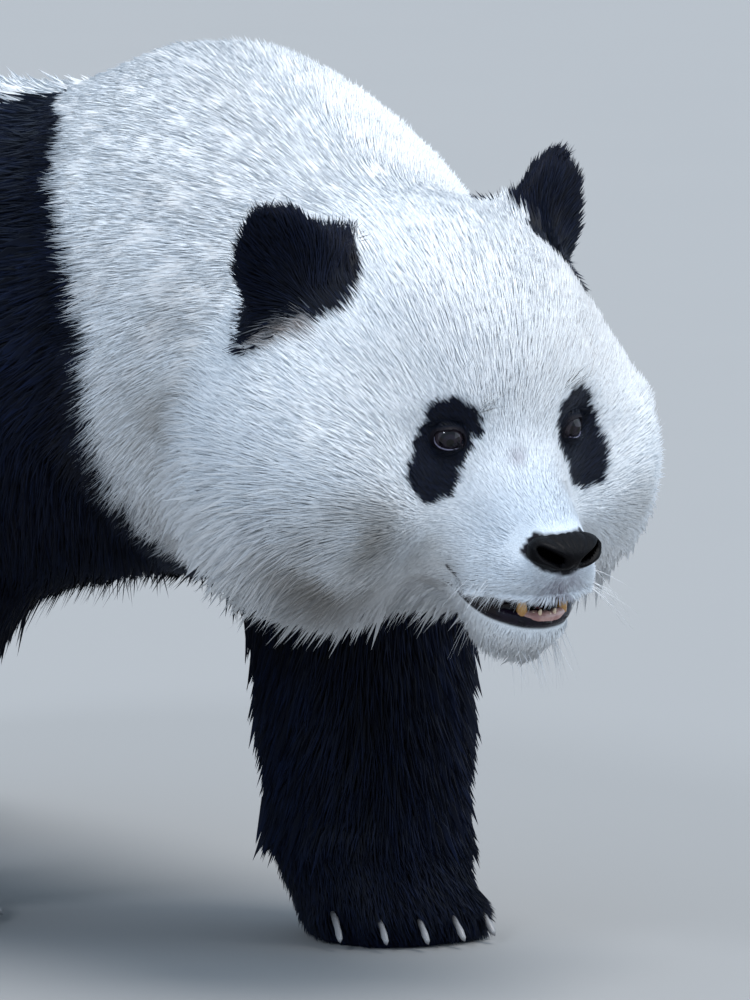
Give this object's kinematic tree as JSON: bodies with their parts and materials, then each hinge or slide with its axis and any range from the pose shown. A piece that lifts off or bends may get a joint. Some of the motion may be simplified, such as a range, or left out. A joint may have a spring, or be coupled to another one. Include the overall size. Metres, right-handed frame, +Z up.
{
  "type": "giant panda",
  "caption": "Life-size still model of a giant panda walking with its head lowered and its mouth a little open.",
  "frame": {"origin": "on the floor under the middle of the whole body", "axes": "+X from the tail to the head, +Y to the animal's left, +Z up; the four soles are at z = 0"},
  "size_m": [1.3876, 0.536, 0.6564],
  "materials": {
    "white_coat": "dense, slightly coarse cream-white fur",
    "black_coat": "dense, slightly glossy black fur",
    "nose": "moist, finely pebbled black skin",
    "eye": "wet, dark brown",
    "tongue": "moist pink",
    "claw": "pale, smooth horn"
  },
  "bodies": {
    "root": {"head": "white_coat", "jaw": "white_coat", "ear_left": "black_coat", "ear_right": "black_coat", "eye_left": "eye", "eye_right": "eye", "nose": "nose", "tongue": "tongue", "neck": "white_coat", "chest": "black_coat", "belly": "white_coat", "rump": "white_coat", "tail": "white_coat", "foreleg_left": "black_coat", "foreleg_right": "black_coat", "hindleg_left": "black_coat", "hindleg_right": "black_coat", "forepaw_left": "black_coat", "forepaw_right": "black_coat", "hindpaw_left": "black_coat", "hindpaw_right": "black_coat", "claw_fore_left_1": "claw", "claw_fore_left_2": "claw", "claw_fore_left_3": "claw", "claw_fore_left_4": "claw", "claw_fore_left_5": "claw", "claw_fore_right_1": "claw", "claw_fore_right_2": "claw", "claw_fore_right_3": "claw", "claw_fore_right_4": "claw", "claw_fore_right_5": "claw", "claw_hind_left_1": "claw", "claw_hind_left_2": "claw", "claw_hind_left_3": "claw", "claw_hind_left_4": "claw", "claw_hind_left_5": "claw", "claw_hind_right_1": "claw", "claw_hind_right_2": "claw", "claw_hind_right_3": "claw", "claw_hind_right_4": "claw", "claw_hind_right_5": "claw"}
  },
  "joints": []
}
